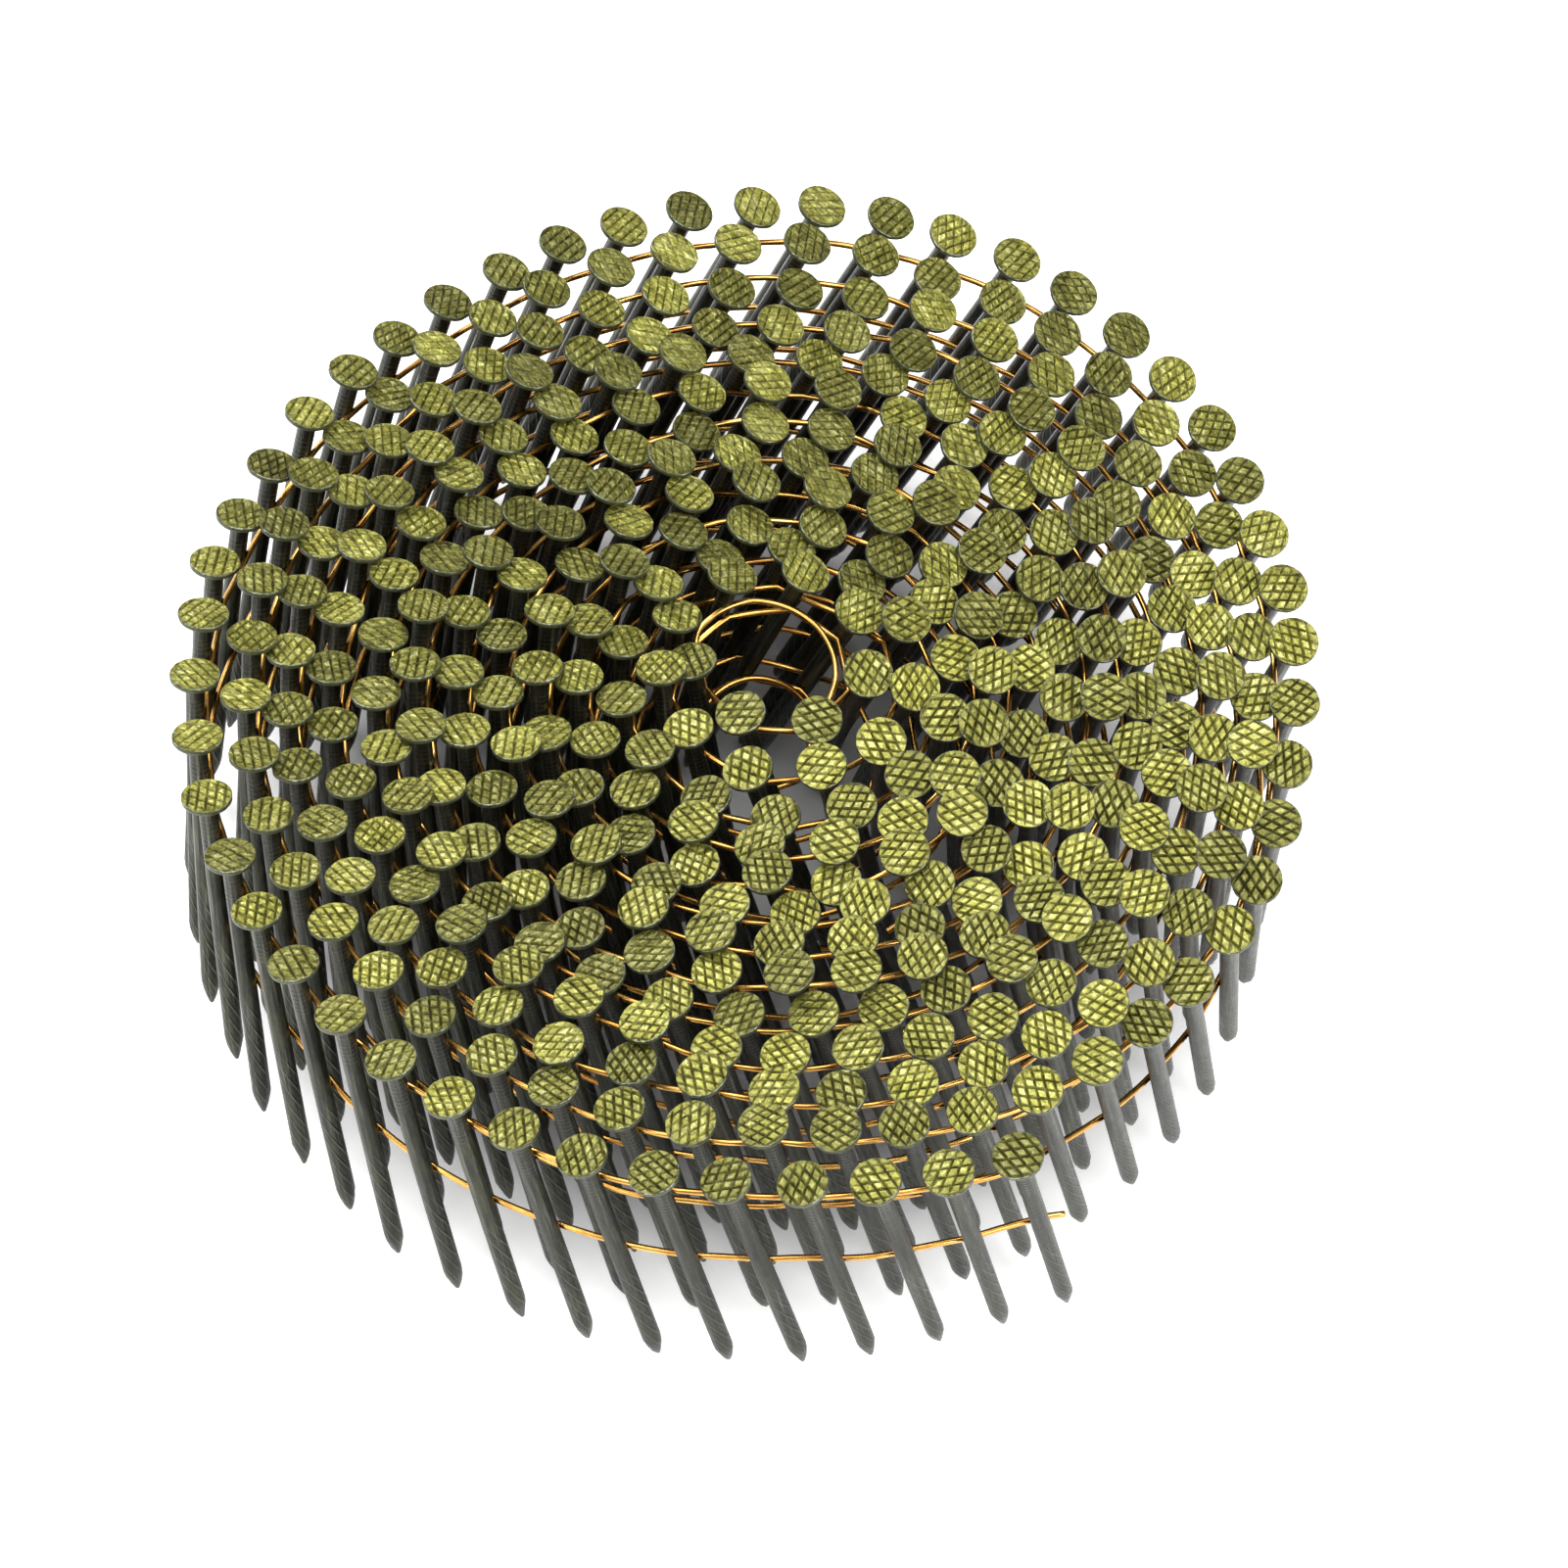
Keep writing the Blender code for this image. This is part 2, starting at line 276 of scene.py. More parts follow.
def uv_coordinates(t):
    return node(t, "ShaderNodeUVMap", uv_map="grain").outputs["UV"]


def head_material():
    """Yellow-green lacquer over pressed diamonds, painted dark in the grooves as painted shade and bright on the crowns
    as a painted highlight.
    """
    m, t, p = shader("knurled_lacquer")
    place = object_coordinates(t)
    depth = attribute(t, "depth")        # 0 in a groove, 1 on a crown
    tone = attribute(t, "tone")
    fine = noise_node(t, place, 3200, 3, 0.6)
    blot = noise_node(t, place, 900, 3, 0.6)
    patch = noise_node(t, place, 330, 2, 0.5)
    d = math_node(t, "ADD", depth, math_node(t, "MULTIPLY", math_node(t, "SUBTRACT", blot, 0.5), 1.3))
    d = math_node(t, "ADD", d, math_node(t, "MULTIPLY", math_node(t, "SUBTRACT", fine, 0.5), 0.9))
    d = math_node(t, "ADD", d, math_node(t, "MULTIPLY", math_node(t, "SUBTRACT", patch, 0.5), 0.9))
    # Painted shade and highlight: by the depth key, the colour runs from dark in the grooves to bright on the crowns.
    colour = ramp(t, d, [(0.0, (0.055, 0.054, 0.012)), (0.22, (0.125, 0.121, 0.022)), (0.50, (0.185, 0.178, 0.030)),
                         (0.82, (0.270, 0.261, 0.050)), (1.0, (0.460, 0.450, 0.165))])
    dusty = ramp(t, patch, [(0.48, (0, 0, 0)), (0.70, (1, 1, 1))])
    colour = mix(t, "MIX", math_node(t, "MULTIPLY", dusty, 0.28), colour, (0.150, 0.155, 0.070))
    scale = t.nodes.new("ShaderNodeVectorMath")
    scale.operation = "SCALE"
    t.links.new(colour, scale.inputs[0])
    t.links.new(math_node(t, "ADD", 0.58, math_node(t, "MULTIPLY", tone, 0.74)), scale.inputs["Scale"])
    t.links.new(scale.outputs[0], p.inputs["Base Color"])
    p.inputs["Metallic"].default_value = 0.65
    t.links.new(math_node(t, "ADD", 0.16, math_node(t, "MULTIPLY", fine, 0.40)), p.inputs["Roughness"])
    p.inputs["Coat Weight"].default_value = 0.12
    p.inputs["Coat Roughness"].default_value = 0.25
    p.inputs["Coat Tint"].default_value = (0.93, 0.95, 0.62, 1)
    t.links.new(bump(t, fine, 0.8, 0.00012, bump(t, blot, 0.9, 0.00035)), p.inputs["Normal"])
    return m


def rim_material():
    """The cut edge and underside of a head: thin grey-green lacquer, rubbed pale in specks along the corner."""
    m, t, p = shader("head_edge_lacquer")
    place = object_coordinates(t)
    fine = noise_node(t, place, 2600, 3, 0.65)
    broad = noise_node(t, place, 700, 2, 0.5)
    wear = attribute(t, "wear")
    base = ramp(t, fine, [(0.3, (0.030, 0.033, 0.014)), (0.7, (0.090, 0.098, 0.040))])
    worn = ramp(t, math_node(t, "MULTIPLY", wear, math_node(t, "ADD", math_node(t, "MULTIPLY", fine, 0.55),
                                                            math_node(t, "MULTIPLY", broad, 0.45))),
                [(0.46, (0, 0, 0)), (0.60, (1, 1, 1))])
    t.links.new(mix(t, "MIX", worn, base, (0.34, 0.37, 0.31)), p.inputs["Base Color"])
    p.inputs["Metallic"].default_value = 0.4
    t.links.new(math_node(t, "ADD", 0.28, math_node(t, "MULTIPLY", fine, 0.25)), p.inputs["Roughness"])
    t.links.new(bump(t, fine, 0.5, 0.0001), p.inputs["Normal"])
    return m


def shank_material():
    """Dark olive lacquer over drawn wire: fine lines along the shank, clamp rings below the head, and a six-start screw
    rolled over the lower part. The brightest streaks and the lighter screw crests are painted highlights. The map runs
    round the shank in X and up it in Y, in millimetres."""
    m, t, p = shader("lacquered_shank")
    place = object_coordinates(t)
    uv = uv_coordinates(t)
    tone = attribute(t, "tone")
    split = t.nodes.new("ShaderNodeSeparateXYZ")
    t.links.new(uv, split.inputs[0])
    u, v = split.outputs[0], split.outputs[1]
    stretch = t.nodes.new("ShaderNodeVectorMath")
    stretch.operation = "MULTIPLY"
    t.links.new(uv, stretch.inputs[0])
    stretch.inputs[1].default_value = (2.7, 0.10, 1)
    drawn_streak_and_highlight = noise_node(t, stretch.outputs[0], 1.0, 4, 0.62)
    blot = noise_node(t, place, 420, 4, 0.6)
    fine = noise_node(t, place, 1900, 3, 0.6)
    # Screw: six flutes, steep along the shank; it fades in over the lower part only.
    phase = math_node(t, "FRACT", math_node(t, "DIVIDE", math_node(t, "ADD", u, math_node(t, "MULTIPLY", v, 0.42)), 1.0996))
    flute = math_node(t, "ABSOLUTE", math_node(t, "SUBTRACT", phase, 0.5))
    crest = ramp(t, flute, [(0.0, (1, 1, 1)), (0.07, (0.55, 0.55, 0.55)), (0.16, (0, 0, 0)), (0.5, (0.12, 0.12, 0.12))])
    low = ramp(t, math_node(t, "DIVIDE", v, 38.0), [(0.34, (1, 1, 1)), (0.48, (0, 0, 0))])
    ring_phase = math_node(t, "FRACT", math_node(t, "DIVIDE", v, 0.62))
    ring = ramp(t, math_node(t, "ABSOLUTE", math_node(t, "SUBTRACT", ring_phase, 0.5)),
                [(0.0, (1, 1, 1)), (0.2, (0, 0, 0))])
    high = ramp(t, math_node(t, "DIVIDE", v, 38.0), [(0.80, (0, 0, 0)), (0.84, (1, 1, 1)), (0.91, (1, 1, 1)),
                                                     (0.93, (0, 0, 0))])
    screw = math_node(t, "MULTIPLY", math_node(t, "MULTIPLY", crest, low), ramp(t, blot, [(0.3, (0.35, 0.35, 0.35)), (0.6, (1, 1, 1))]))
    clamp = math_node(t, "MULTIPLY", ring, high)
    # The bright end of this ramp paints highlights along the shank; the rest is the streaking of the drawn wire.
    base = ramp(t, drawn_streak_and_highlight, [(0.36, (0.005, 0.006, 0.003)), (0.50, (0.021, 0.023, 0.013)), (0.60, (0.060, 0.063, 0.043)),
                            (0.73, (0.190, 0.195, 0.160))])
    base = mix(t, "MIX", math_node(t, "MULTIPLY", ramp(t, blot, [(0.46, (0, 0, 0)), (0.70, (1, 1, 1))]), 0.5), base,
               (0.062, 0.066, 0.028))
    # Painted highlight: the screw crests, real ridges in the bump, are painted lighter here.
    base = mix(t, "MIX", math_node(t, "MULTIPLY", screw, 0.45), base, (0.200, 0.205, 0.155))
    base = mix(t, "MIX", math_node(t, "MULTIPLY", clamp, 0.22), base, (0.15, 0.155, 0.11))
    scale = t.nodes.new("ShaderNodeVectorMath")
    scale.operation = "SCALE"
    t.links.new(base, scale.inputs[0])
    t.links.new(math_node(t, "ADD", 0.48, math_node(t, "MULTIPLY", tone, 0.38)), scale.inputs["Scale"])
    t.links.new(scale.outputs[0], p.inputs["Base Color"])
    p.inputs["Metallic"].default_value = 0.60
    t.links.new(math_node(t, "ADD", 0.24, math_node(t, "MULTIPLY", blot, 0.24)), p.inputs["Roughness"])
    height = math_node(t, "ADD", math_node(t, "MULTIPLY", drawn_streak_and_highlight, 0.8),
                       math_node(t, "ADD", math_node(t, "MULTIPLY", screw, 0.8), math_node(t, "MULTIPLY", clamp, 0.3)))
    height = math_node(t, "ADD", height, math_node(t, "MULTIPLY", fine, 0.25))
    t.links.new(bump(t, height, 0.85, 0.00016), p.inputs["Normal"])
    return m


def wire_material():
    """Bright drawn copper plating, more golden than red, with darker, dulled stretches."""
    m, t, p = shader("copper_plated_wire")
    place = object_coordinates(t)
    fine = noise_node(t, place, 900, 2, 0.5)
    dull = noise_node(t, place, 240, 3, 0.6)
    base = ramp(t, dull, [(0.30, (0.42, 0.195, 0.042)), (0.50, (0.60, 0.325, 0.078)), (0.72, (0.84, 0.52, 0.160))])
    base = mix(t, "MULTIPLY", math_node(t, "MULTIPLY", ramp(t, fine, [(0.55, (0, 0, 0)), (0.75, (1, 1, 1))]), 0.10), base,
               (0.55, 0.45, 0.36))
    t.links.new(base, p.inputs["Base Color"])
    p.inputs["Metallic"].default_value = 1.0
    t.links.new(math_node(t, "ADD", 0.17, math_node(t, "MULTIPLY", dull, 0.16)), p.inputs["Roughness"])
    return m


HEAD_LOOK, RIM_LOOK, SHANK_LOOK, WIRE_LOOK = head_material(), rim_material(), shank_material(), wire_material()


# ------------------------------------------------------------------ the nail, in its own frame: Z up to the head's top
class Shape:
    """Points, faces and their facts, gathered before they become one mesh."""

    def __init__(self):
        self.points, self.faces, self.looks, self.smooth = [], [], [], []
        self.depth, self.wear, self.uv = [], [], []

    def ring(self, height, radius, corners, turn=0.0, squash=0.0, wear=0.0, rough=None, shift=(0.0, 0.0)):
        start = len(self.points)
        for i in range(corners):
            a = turn + 2 * math.pi * i / corners
            r = radius if np.isscalar(radius) else radius[i]
            if squash:
                # Towards a four-sided section, for the point.
                s = max(abs(math.cos(a)), abs(math.sin(a)))
                r = r * ((1 - squash) + squash * 0.80 / s)
            if rough is not None:
                r *= 1 + rough[i]
            self.points.append((r * math.cos(a) + shift[0], r * math.sin(a) + shift[1], height))
            self.depth.append(0.5)
            self.wear.append(wear)
        return list(range(start, start + corners))

    def face(self, corners, look, smooth, uv=None):
        self.faces.append(corners)
        self.looks.append(look)
        self.smooth.append(smooth)
        self.uv.append(uv or [(0.0, 0.0)] * len(corners))

    def skin(self, upper, lower, look, smooth=True, radius=None, heights=None):
        n = len(upper)
        for i in range(n):
            j = (i + 1) % n
            uv = None
            if radius:
                step = 2 * math.pi * radius / n
                uv = [(i * step, heights[0]), (i * step, heights[1]), ((i + 1) * step, heights[1]),
                      ((i + 1) * step, heights[0])]
            self.face([upper[i], lower[i], lower[j], upper[j]], look, smooth, uv)


EDGE = 36
THICK = 0.68          # of the head as seen; the CAD head is a little thicker


def knurl_top(shape, seed, rim, rim_height):
    """The pressed top of a head: two sets of straight grooves crossing at about 65 degrees, with flat-topped diamonds
    between them, as real facets. It joins the rim's points."""
    spin = math.pi * noise(seed, 11)
    half = math.radians(32 + 4 * noise(seed, 12))
    gap = 1.0 + 0.06 * noise(seed, 13)
    strength = [0.92, 0.55 + 0.30 * noise(seed, 18)] if seed % 2 else [0.55 + 0.30 * noise(seed, 18), 0.92]
    off = (0.5 * noise(seed, 14) * gap, 0.5 * noise(seed, 15) * gap)
    normals = [np.array([math.cos(spin + s * half), math.sin(spin + s * half)]) for s in (1, -1)]
    limit = HEAD_R - 0.20
    inset = 0.19

    def rise_at(p):
        """1 on a crown, less in a groove; the shallower set of grooves cuts less."""
        low = 1.0
        for n, o, s in zip(normals, off, strength):
            t = (np.dot(p, n) + o) / gap
            low = min(low, 1 - s * (1 - min(abs(t - round(t)) / inset, 1.0)))
        return low

    points = [np.array(shape.points[i][:2]) for i in rim]
    count = len(points)
    edges = [(i, (i + 1) % count) for i in range(count)]
    # Crossings of the grooves, the grooves themselves, and the raised plateau inside each diamond.
    reach = int(2 * HEAD_R / gap) + 2
    inverse = np.linalg.inv(np.array(normals))

    def crossing(i, j, stray=0.0):
        p = inverse @ np.array([i * gap - off[0], j * gap - off[1]])
        if stray:
            q = int(1000 * (i + 40) + 10 * (j + 40)) + 7 * seed
            p = p + stray * np.array([noise(q, 19), noise(q, 20)])
        return p

    index = {}
    for i in range(-reach, reach + 1):
        for j in range(-reach, reach + 1):
            p = crossing(i, j)
            if np.linalg.norm(p) < limit:
                index[(i, j)] = len(points)
                points.append(p)
    for (i, j), at in index.items():
        for other in ((i + 1, j), (i, j + 1)):
            if other in index:
                edges.append((at, index[other]))
        for other in ((i + 1, j), (i - 1, j), (i, j + 1), (i, j - 1)):
            if other not in index:
                # The groove runs on to the edge of the pressed field.
                way = crossing(*other) - points[at]
                way = way / np.linalg.norm(way)
                b = np.dot(points[at], way)
                reach_out = -b + math.sqrt(max(b * b - np.dot(points[at], points[at]) + (limit + 0.02) ** 2, 0))
                if reach_out > 0.12:
                    edges.append((at, len(points)))
                    points.append(points[at] + way * reach_out)
    plateau = []
    for i in range(-reach, reach + 1):
        for j in range(-reach, reach + 1):
            ids = []
            for fi, fj in ((inset, inset), (1 - inset, inset), (1 - inset, 1 - inset), (inset, 1 - inset)):
                p = crossing(i + fi, j + fj, 0.05)
                if np.linalg.norm(p) < limit - 0.03:
                    ids.append(len(points))
                    points.append(p)
            plateau.append(ids)
            if len(ids) == 4:
                edges += [(ids[0], ids[1]), (ids[1], ids[2]), (ids[2], ids[3]), (ids[3], ids[0])]
                ids.append(len(points))
                points.append(crossing(i + 0.5, j + 0.5, 0.10))
    made, _, faces, origin, _, _ = delaunay_2d_cdt([Vector(p) for p in points], edges, [list(range(count))], 1, 1e-5)
    known = {}
    for new, olds in enumerate(origin):
        for old in olds:
            if old < count:
                known[new] = rim[old]
    for new, p in enumerate(made):
        if new in known:
            continue
        p = np.array(p)
        r = np.linalg.norm(p)
        rise = rise_at(p)
        edge = max(0.0, min(1.0, (HEAD_R - 0.16 - r) / 0.25))
        wobble = 0.065 * noise(seed * 97 + new, 16)
        known[new] = len(shape.points)
        shape.points.append((p[0], p[1], rim_height - 0.01 - (1 - rise) * 0.24 * (0.35 + 0.65 * edge) + wobble * rise))
        # The colour key for the painted shade and highlight: low in the grooves and towards the edge of the pressed
        # field, high on the crowns.
        shape.depth.append(rise * (0.80 + 0.20 * noise(seed * 31 + new, 17)) * (0.62 + 0.38 * edge))
        shape.wear.append(0.0)
    for f in faces:
        corners = [known[v] for v in f]
        a, b, c = (np.array(shape.points[v][:2]) for v in corners[:3])
        if (b - a)[0] * (c - a)[1] - (b - a)[1] * (c - a)[0] < 0:
            corners = corners[::-1]
        shape.face(corners, 0, False)


def nail_shape(seed):
    """One nail: knurled head, rim, drawn shank and cut point. Its middle is at the origin and its head up."""
    s = Shape()
    top = LENGTH / 2
    rough = [0.012 * noise(seed * 7 + i // 3, 21) + 0.006 * noise(seed * 5 + i, 22) for i in range(EDGE)]
    lift = [0.0] * EDGE
    crown = s.ring(top - 0.04, HEAD_R - 0.09, EDGE, wear=1.0, rough=rough)
    for i in crown:
        s.depth[i] = 0.55
    corner = s.ring(top - 0.13, HEAD_R - 0.02, EDGE, wear=0.85, rough=rough)
    lower = s.ring(top - THICK + 0.12, HEAD_R - 0.04, EDGE, wear=0.5, rough=rough)
    under = s.ring(top - THICK, HEAD_R - 0.16, EDGE, wear=0.2, rough=rough)
    knurl_top(s, seed, crown, top - 0.04)
    s.skin(crown, corner, 1)
    s.skin(corner, lower, 1)
    s.skin(lower, under, 1)
    sides = 12
    neck = s.ring(top - THICK - 0.05, 1.55, sides)
    # Underside: fan between the rim's ring and the neck's.
    for i in range(sides):
        j = (i + 1) % sides
        a = [under[(3 * i + k) % EDGE] for k in range(4)]
        s.face([neck[i], neck[j], a[3]], 1, True)
        s.face([neck[i], a[3], a[2]], 1, True)
        s.face([neck[i], a[2], a[1]], 1, True)
        s.face([neck[i], a[1], a[0]], 1, True)
    levels = [(top - THICK - 0.30, 1.20), (top - THICK - 0.80, SHANK_R)]
    rings, heights = [neck], [top - THICK - 0.05]
    for h, r in levels:
        rings.append(s.ring(h, r, sides))
        heights.append(h)
    for h in (10.0, 1.0, -8.0, -14.0):
        rings.append(s.ring(h, SHANK_R * (1 + 0.006 * noise(seed, 30 + h)), sides))
        heights.append(h)
    foot = -LENGTH / 2 + 3.4
    spin = 0.5 * noise(seed, 40)
    rings.append(s.ring(foot, SHANK_R, sides))
    heights.append(foot)
    rings.append(s.ring(foot - 0.9, SHANK_R * 0.95, sides, squash=0.75, wear=0.2))
    heights.append(foot - 0.9)
    rings.append(s.ring(foot - 2.1, SHANK_R * 0.64, sides, squash=0.95, wear=0.4))
    heights.append(foot - 2.1)
    tip_shift = (0.10 * noise(seed, 41), 0.10 * noise(seed, 42))
    rings.append(s.ring(-LENGTH / 2 + 0.30, SHANK_R * 0.26, sides, squash=0.9, wear=0.5, shift=tip_shift))
    heights.append(-LENGTH / 2 + 0.35)
    for k in range(len(rings) - 1):
        s.skin(rings[k], rings[k + 1], 2, radius=SHANK_R,
               heights=(heights[k] + LENGTH / 2, heights[k + 1] + LENGTH / 2))
    tip = len(s.points)
    s.points.append((tip_shift[0] * 1.4, tip_shift[1] * 1.4, -LENGTH / 2 + 0.02))
    s.depth.append(0.5)
    s.wear.append(0.6)
    last = rings[-1]
    step = 2 * math.pi * SHANK_R / sides
    for i in range(sides):
        s.face([last[i], tip, last[(i + 1) % sides]], 2, True, [(i * step, 0.35), ((i + 0.5) * step, 0.0),
                                                                ((i + 1) * step, 0.35)])
    return s


VARIANTS = 30
TEMPLATES = [nail_shape(v + 1) for v in range(VARIANTS)]


def nails_mesh(name, ks):
    """One mesh of the nails ks, each a turned copy of one of the shapes, at its place."""
    points, faces, looks, smooth, uvs, depth, wear, tone = [], [], [], [], [], [], [], []
    for k in ks:
        shape = TEMPLATES[int((noise(k, 50) + 1) / 2 * VARIANTS) % VARIANTS]
        local = np.array(shape.points)
        spin = math.pi * noise(k, 51)
        c, s = math.cos(spin), math.sin(spin)
        x = local[:, 0] * c - local[:, 1] * s
        y = local[:, 0] * s + local[:, 1] * c
        world = MID[k] + across[k] * x[:, None] + beside[k] * y[:, None] + AXIS[k] * local[:, 2:3]
        start = sum(len(p) for p in points)
        points.append(world * MM)
        faces += [[start + i for i in f] for f in shape.faces]
        looks += shape.looks
        smooth += shape.smooth
        for corner in shape.uv:
            uvs += corner
        depth += shape.depth
        wear += shape.wear
        tone += [0.5 + 0.5 * noise(k, 52)] * len(local)
    mesh = bpy.data.meshes.new(name)
    mesh.from_pydata(np.concatenate(points).tolist(), [], faces)
    for look in (HEAD_LOOK, RIM_LOOK, SHANK_LOOK):
        mesh.materials.append(look)
    mesh.polygons.foreach_set("material_index", looks)
    mesh.polygons.foreach_set("use_smooth", smooth)
    grain = mesh.uv_layers.new(name="grain")
    grain.data.foreach_set("uv", np.array(uvs, dtype=np.float32).ravel())
    for label, values in (("depth", depth), ("wear", wear), ("tone", tone)):
        layer = mesh.attributes.new(label, "FLOAT", "POINT")
        layer.data.foreach_set("value", np.array(values, dtype=np.float32))
    mesh.validate(clean_customdata=False)
    obj = bpy.data.objects.new(name, mesh)
    bpy.context.scene.collection.objects.link(obj)
    return obj


def tube(name, points, radius=WIRE_R, sides=10):
    """A round wire through the points, with rounded ends."""
    pts = np.array(points, dtype=float)
    way = np.gradient(pts, axis=0)
    way /= np.linalg.norm(way, axis=1)[:, None]
    up = np.tile([0, 0, 1.0], (len(pts), 1))
    side = np.cross(way, up)
    side /= np.linalg.norm(side, axis=1)[:, None]
    up = np.cross(side, way)
    verts, faces = [], []
    rows = [(pts[0] - way[0] * radius * 0.45, side[0], up[0], 0.62 * radius)]
    rows += [(pts[i], side[i], up[i], radius) for i in range(len(pts))]
    rows += [(pts[-1] + way[-1] * radius * 0.45, side[-1], up[-1], 0.62 * radius)]
    for p, s, u, r in rows:
        for i in range(sides):
            a = 2 * math.pi * i / sides
            verts.append((p + s * r * math.cos(a) + u * r * math.sin(a)) * MM)
    for k in range(len(rows) - 1):
        for i in range(sides):
            j = (i + 1) % sides
            a, b = k * sides, (k + 1) * sides
            faces.append([a + i, a + j, b + j, b + i])
    faces.append(list(range(sides))[::-1])
    last = (len(rows) - 1) * sides
    faces.append([last + i for i in range(sides)])
    mesh = bpy.data.meshes.new(name)
    mesh.from_pydata([tuple(v) for v in verts], [], faces)
    mesh.polygons.foreach_set("use_smooth", [True] * len(faces))
    mesh.materials.append(WIRE_LOOK)
    mesh.validate()
    obj = bpy.data.objects.new(name, mesh)
    bpy.context.scene.collection.objects.link(obj)
    return obj


INNER = SHANK_R + WIRE_R - 0.14          # the wire is welded to the inner side, a little pressed in


def weld(k, depth):
    return wire_point(k, depth, INNER)


def between(k, depth, share, wander=0.22):
    """A point of the wire between nail k and the next; it wanders a little from the straight line."""
    a, b = weld(k, depth), weld(k + 1, depth)
    belly = 4 * share * (1 - share)
    lift = np.array([0, 0, wander * noise(k * 3 + depth, 60)])
    outwards = (OUT[k] + OUT[k + 1]) / 2 * (wander * noise(k * 3 + depth, 61) + 0.5 * PITCH ** 2 / 8 / 30)
    return a + (b - a) * share + (lift + outwards) * belly


def wire_run(first, last, depth):
    """Points of the wire from nail first to nail last."""
    points = []
    for k in range(first, last):
        way = weld(k + 1, depth) - weld(k, depth)
        way /= np.linalg.norm(way)
        points.append(weld(k, depth) if k == first else weld(k, depth) - way * 0.0)
        for share in (0.16, 0.38, 0.62, 0.84):
            points.append(between(k, depth, share))
    points.append(weld(last, depth))
    return points


def smooth(points, steps=6):
    """A rounded run through the given bends."""
    pts = [np.array(p, dtype=float) for p in points]
    pts = [2 * pts[0] - pts[1]] + pts + [2 * pts[-1] - pts[-2]]
    made = []
    for i in range(1, len(pts) - 2):
        a, b, c, d = pts[i - 1:i + 3]
        for j in range(steps):
            x = j / steps
            made.append(0.5 * (2 * b + (c - a) * x + (2 * a - 5 * b + 4 * c - d) * x * x + (3 * b - a - 3 * c + d) * x ** 3))
    return made + [pts[-2]]


def bare_end(tip, height, bends):
    """Bends of a bare wire end past the last nail, seen from the middle of the roll, with rises from the given height."""
    return smooth([tip] + [np.array([CENTRE[0] + x, CENTRE[1] + y, height + z]) for x, y, z in bends])[1:]


# ------------------------------------------------------------------ the pieces
# Wound part
starts = list(range(TAIL, NAILS, SECTION))
for n, s in enumerate(starts):
    ks = range(s, min(s + SECTION, NAILS))
    piece = nails_mesh(f"nails_of_section_{n + 1:02d}", ks)
    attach(piece, "wound_coil")
    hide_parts(f"wound_section_{n + 1:02d}")

BARE = {
    "upper": [(-8.2, 5.6, 1.6), (-6.6, 8.8, 2.2), (-3.7, 11.0, 2.3), (-0.8, 11.5, 2.2), (2.3, 10.9, 2.1), (5.0, 9.1, 1.8),
              (6.8, 6.5, 1.4), (7.5, 3.6, 0.6), (7.1, 1.2, -0.4), (7.6, -0.5, -1.2), (7.0, -2.0, -1.8), (5.8, -2.4, -2.0)],
    "lower": [(-5.9, 1.2, 0.3), (-6.7, 4.4, 0.8), (-5.0, 8.2, 1.4), (-1.8, 10.1, 2.0), (1.8, 9.7, 2.4), (4.8, 7.2, 2.6),
              (5.9, 4.2, 2.2), (5.7, 2.2, 1.6)],
}
for label, depth in (("upper", UPPER), ("lower", LOWER)):
    cuts = [TAIL, TAIL + 90, TAIL + 190, NAILS - 1]
    for i in range(3):
        points = wire_run(cuts[i], cuts[i + 1], depth)
        if i == 2:
            points += bare_end(points[-1], 32.4 if label == "upper" else 19.8, BARE[label])
        wire = tube(f"{label}_wire_wound_{i + 1}", points)
        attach(wire, "wound_coil")
        if label == "upper" and i == 0:
            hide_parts("upper_wire_wound")

# Loose outer end: each link's two nails, the wires between them, and the wires that join the links
for link in range(1, LINKS + 1):
    body = f"strip_link_{link}"
    a, b = (link - 1) * LINK_NAILS, (link - 1) * LINK_NAILS + 1
    for k in (a, b):
        piece = nails_mesh(f"lead_nail_{k + 1:02d}", [k])
        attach(piece, body)
        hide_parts(f"nail_{k + 1:02d}")
    for label, depth in (("upper", UPPER), ("lower", LOWER)):
        points = wire_run(a, b, depth)
        if link == 1:
            way = points[0] - points[1]
            way /= np.linalg.norm(way)
            stub = 2.9 if label == "lower" else 1.5
            bend = OUT[a] * (0.30 if label == "lower" else -0.1) + np.array([0, 0, 0.22])
            points = [points[0] + way * stub * t + bend * t * t * stub / 2 for t in (1.0, 0.75, 0.5, 0.25)] + points
        wire = tube(f"{label}_wire_of_link_{link}", points)
        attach(wire, body)
        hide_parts(f"{label}_wire_link_{link}")
        flex = tube(f"{label}_wire_flex_{link}", wire_run(b, b + 1, depth))
        way = RUN[b] + RUN[b + 1]
        way /= np.linalg.norm(way)
        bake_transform(flex)

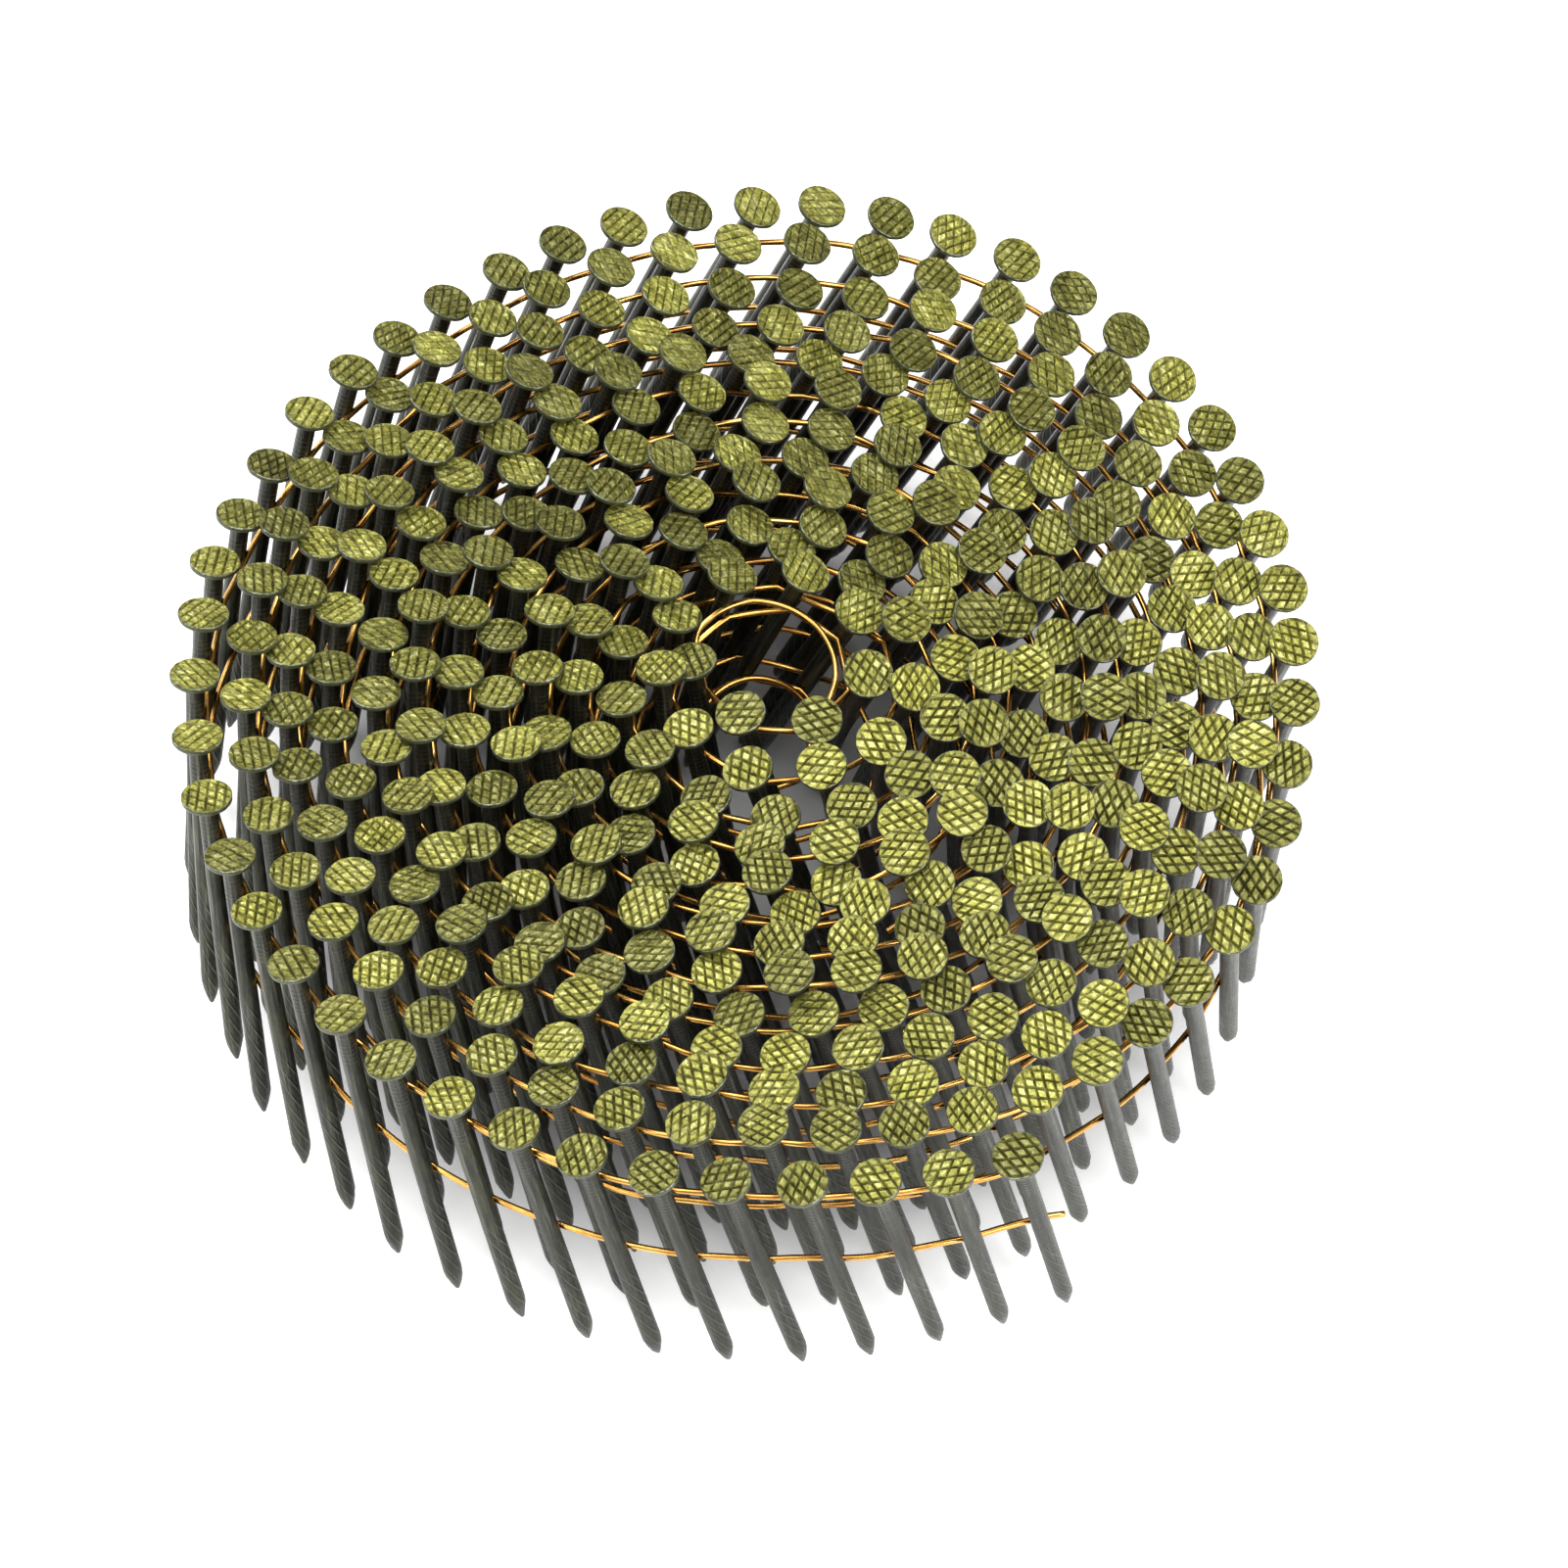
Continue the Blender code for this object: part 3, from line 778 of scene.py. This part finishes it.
# ------------------------------------------------------------------ floor and light
floor = bpy.data.meshes.new("floor")
floor.from_pydata([(-4, -4, 0), (4, -4, 0), (4, 4, 0), (-4, 4, 0)], [], [[0, 1, 2, 3]])
ground = bpy.data.objects.new("floor", floor)
bpy.context.scene.collection.objects.link(ground)
ground.location.z = -0.0002
# Painted shadow and glow: the floor's colour is darkened under the coil as a painted shadow, and outside the coil the
# floor itself glows.
m, t, p = shader("glowing_floor_with_painted_shadow")
p.inputs["Emission Color"].default_value = (1, 1, 1, 1)
away = node(t, "ShaderNodeVectorMath", operation="LENGTH")
t.links.new(object_coordinates(t), away.inputs[0])
t.links.new(ramp(t, away.outputs["Value"], [(0.042, (0, 0, 0)), (0.057, (0.42, 0.42, 0.42))]), p.inputs["Emission Strength"])
t.links.new(ramp(t, away.outputs["Value"], [(0.040, (0.50, 0.50, 0.50)), (0.056, (0.97, 0.97, 0.97))]), p.inputs["Base Color"])
p.inputs["Roughness"].default_value = 0.9
p.inputs["Specular IOR Level"].default_value = 0.1
floor.materials.append(m)

world = bpy.data.worlds.new("studio")
bpy.context.scene.world = world
world.use_nodes = True
t = world.node_tree
back = t.nodes["Background"]
way = t.nodes.new("ShaderNodeTexCoord").outputs["Generated"]
dark = t.nodes.new("ShaderNodeVectorMath")
dark.operation = "DOT_PRODUCT"
t.links.new(way, dark.inputs[0])
dark.inputs[1].default_value = (0.44, 0.55, 0.71)
fall = ramp(t, dark.outputs["Value"], [(0.0, (0.95, 0.95, 0.95)), (0.72, (0.85, 0.85, 0.85)), (0.92, (0.45, 0.45, 0.45)),
                                       (1.0, (0.32, 0.32, 0.32))])
rise = t.nodes.new("ShaderNodeSeparateXYZ")
t.links.new(way, rise.inputs[0])
low = ramp(t, rise.outputs[2], [(0.0, (0.50, 0.50, 0.50)), (0.45, (1, 1, 1))])
t.links.new(mix(t, "MULTIPLY", 1.0, fall, low), back.inputs["Color"])
back.inputs["Strength"].default_value = 0.82


def lamp(name, at, aim, size, power, colour=(1, 1, 1)):
    light = bpy.data.lights.new(name, "AREA")
    light.shape = "RECTANGLE"
    light.size, light.size_y = size
    light.energy = power
    light.color = colour
    obj = bpy.data.objects.new(name, light)
    bpy.context.scene.collection.objects.link(obj)
    obj.location = at
    obj.rotation_euler = (Vector(aim) - Vector(at)).to_track_quat("-Z", "Y").to_euler()
    return obj


lamp("overhead", (0.02, -0.05, 0.97), (0, 0, 0.03), (0.7, 0.7), 8.0)
lamp("front_right", (0.80, -0.60, 0.60), (0, 0, 0.02), (0.5, 0.5), 6.0)
lamp("front_left", (-0.50, -0.75, 0.60), (0, 0, 0.02), (0.5, 0.5), 3.0)
lamp("back_left", (-0.48, 0.54, 0.77), (0, 0, 0.03), (0.4, 0.4), 5.8)

bpy.context.scene.view_settings.view_transform = "Standard"
bpy.context.scene.view_settings.look = "None"
